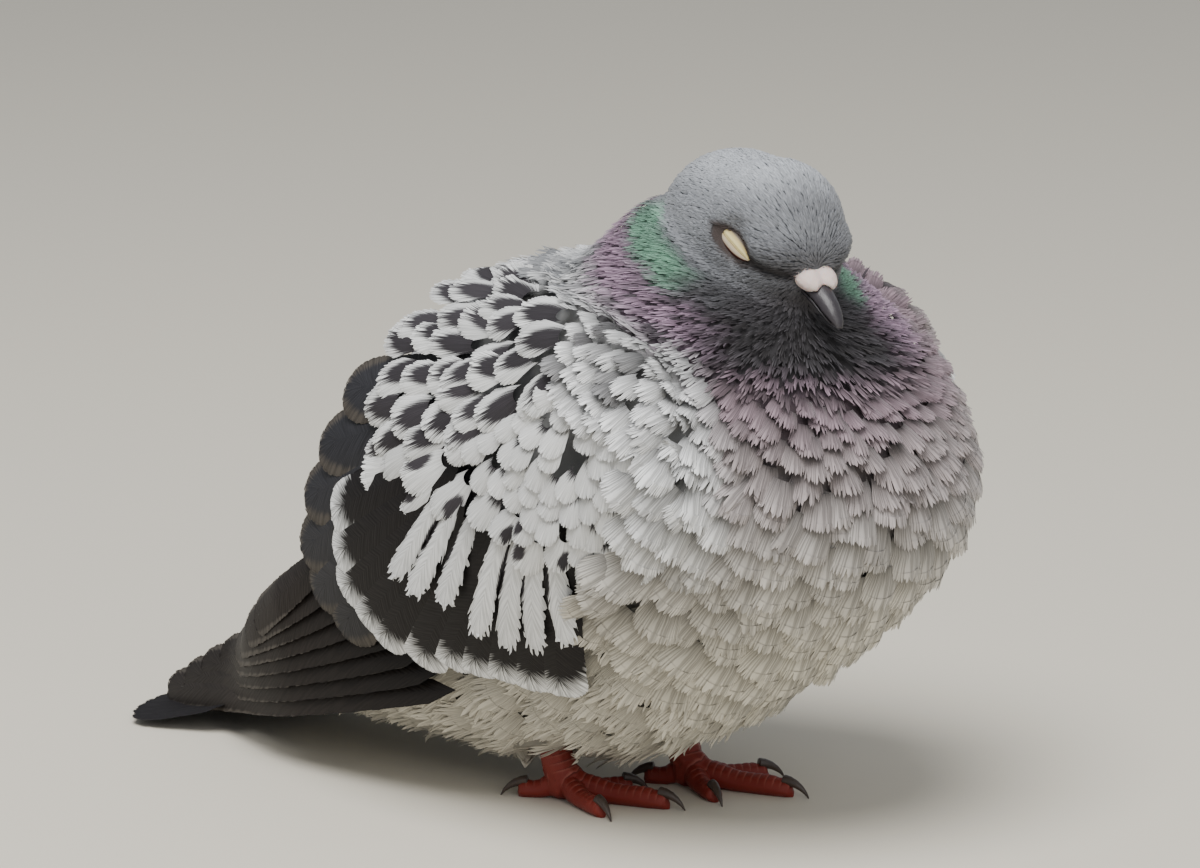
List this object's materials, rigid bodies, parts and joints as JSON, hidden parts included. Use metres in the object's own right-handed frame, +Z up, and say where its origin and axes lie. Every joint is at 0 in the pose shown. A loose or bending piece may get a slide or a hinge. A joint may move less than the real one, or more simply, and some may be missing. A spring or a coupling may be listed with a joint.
{
  "type": "pigeon",
  "caption": "Life-size still model of a pied rock pigeon at rest, plumage puffed out, head drawn in and turned to its right, eyes shut.",
  "frame": {"origin": "on the floor, under the middle of the model's box", "axes": "+Z up; -Y is the way the bird's body faces, +Y runs back to the tips of the primaries; +X is its left side"},
  "size_m": [0.1268, 0.236, 0.1596],
  "materials": {
    "head_plumage": "matt slate-blue plumes, with some green sheen low on the cheek",
    "neck_plumage": "hackles with a green and violet sheen over slate",
    "breast_plumage": "soft plumes, mauve-grey above and pale grey below",
    "belly_plumage": "loose cream-white plumes",
    "rump_plumage": "soft grey plumes",
    "wing_coverts": "white vanes with dark grey centres",
    "flight_quills": "stiff dark slate-brown vanes with a slight gloss",
    "tail_quills": "stiff near-black vanes with a slight gloss",
    "eyelid": "cream-coloured lid skin, finely wrinkled",
    "bill": "dark grey horn with a soft gloss",
    "cere": "chalky pinkish-white, finely wrinkled",
    "foot_skin": "dark red scaled skin with paler scale edges",
    "claw": "dark grey horn"
  },
  "bodies": {
    "root": {"bill_lower": "bill", "bill_upper": "bill", "breast": "breast_plumage", "cere": "cere", "claw_left_hind": "claw", "claw_left_inner": "claw", "claw_left_middle": "claw", "claw_left_outer": "claw", "claw_right_hind": "claw", "claw_right_inner": "claw", "claw_right_middle": "claw", "claw_right_outer": "claw", "eye_left": "eyelid", "eye_right": "eyelid", "head": "head_plumage", "leg_left": "foot_skin", "leg_right": "foot_skin", "neck": "neck_plumage", "rump": "rump_plumage", "tail": "tail_quills", "trunk": "belly_plumage", "wing_left_coverts": "wing_coverts", "wing_left_primaries": "flight_quills", "wing_left_secondaries": "flight_quills", "wing_right_coverts": "wing_coverts", "wing_right_primaries": "flight_quills", "wing_right_secondaries": "flight_quills"}
  },
  "joints": []
}
